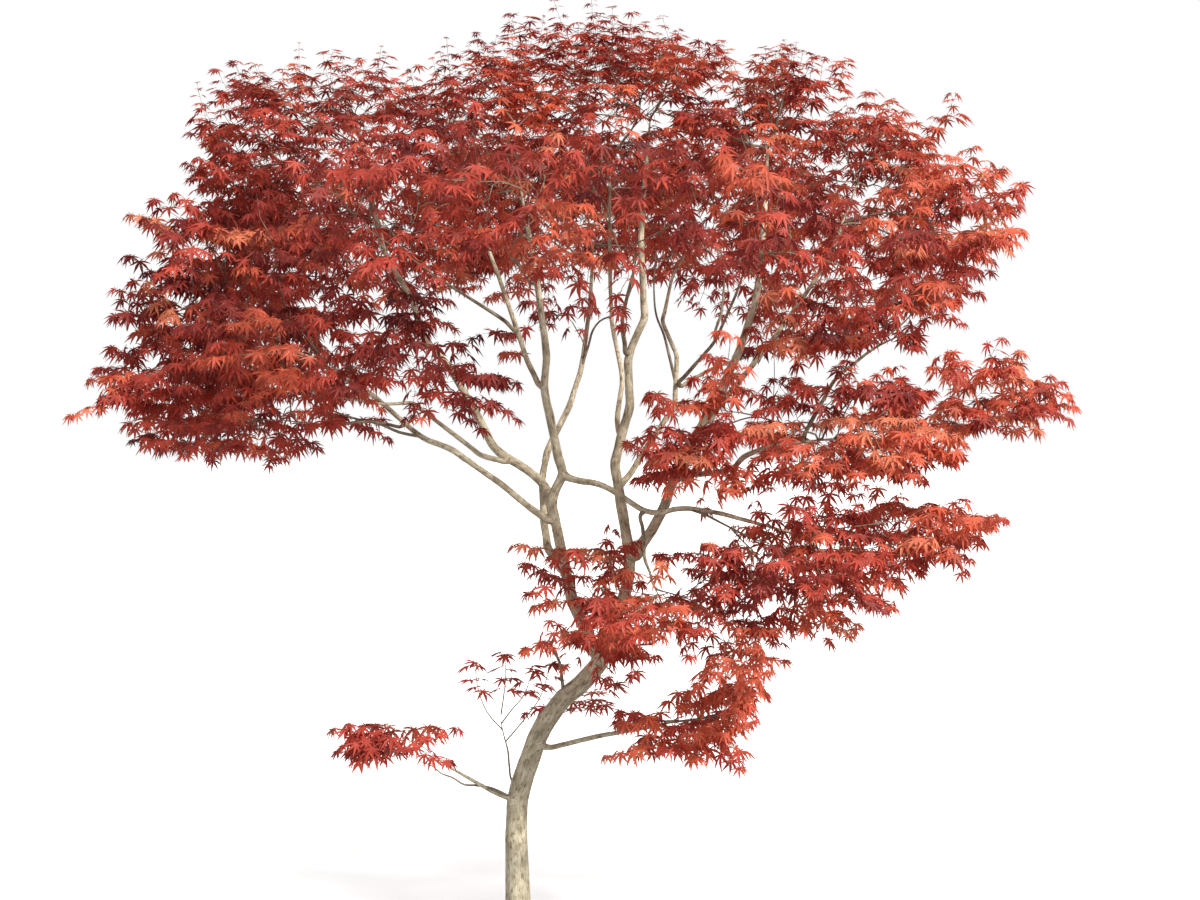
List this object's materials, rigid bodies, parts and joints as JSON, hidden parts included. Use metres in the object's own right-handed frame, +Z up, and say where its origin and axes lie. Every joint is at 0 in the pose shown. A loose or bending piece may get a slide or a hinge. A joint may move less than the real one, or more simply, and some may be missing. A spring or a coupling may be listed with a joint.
{
  "type": "japanese maple tree",
  "caption": "Slender leaning trunk that forks into rising stems, under a wide, airy crown of flat tiers of red, finger-lobed leaves.",
  "frame": {"origin": "centre of the flat cut under the trunk, at ground level", "axes": "+Z up, +X along the crown's widest side, the side that the trunk leans towards, and -Y the tree's front"},
  "size_m": [3.9761, 3.1194, 3.6846],
  "materials": {
    "bark": "matt, finely furrowed",
    "young_bark": "smooth, matt",
    "leaves": "soft, thin, in crimson, scarlet and salmon"
  },
  "bodies": {
    "root": {"trunk": "bark", "left_leader": "bark", "right_leader": "bark", "back_stem": "bark", "right_stem": "bark", "left_high_bough": "bark", "left_middle_bough": "bark", "left_low_bough": "bark", "left_outer_bough": "young_bark", "upper_left_bough": "bark", "upper_left_fork": "young_bark", "crossing_bough": "bark", "hanging_bough": "young_bark", "centre_bough": "bark", "centre_right_bough": "young_bark", "right_back_stem": "bark", "right_middle_bough": "young_bark", "right_far_bough": "young_bark", "right_outer_stem": "bark", "right_bough": "bark", "right_rising_bough": "young_bark", "low_left_bough": "bark", "low_right_bough": "bark", "low_twig": "young_bark", "crown_top": "leaves", "crown_top_left": "leaves", "crown_top_right": "leaves", "front_centre": "leaves", "front_right": "leaves", "right_top": "leaves", "right_upper": "leaves", "right_shoulder": "leaves", "right_tier": "leaves", "upper_left": "leaves", "upper_left_front": "leaves", "left_upper": "leaves", "left_shoulder": "leaves", "left_tier": "leaves", "left_low_tier": "leaves", "left_front_tier": "leaves", "left_hem": "leaves", "left_inner_tier": "leaves", "inner_right": "leaves", "right_mid": "leaves", "right_far": "leaves", "low_right_far": "leaves", "low_right_mid": "leaves", "hanging_tier": "leaves", "centre_low": "leaves", "centre_low_right": "leaves", "low_left": "leaves", "low_twig_spray": "leaves", "low_right": "leaves", "trunk_back_spray": "leaves", "inner_spray": "leaves", "back_left": "leaves", "back_centre": "leaves", "back_right": "leaves", "back_far_right": "leaves", "back_left_tier": "leaves"}
  },
  "joints": []
}
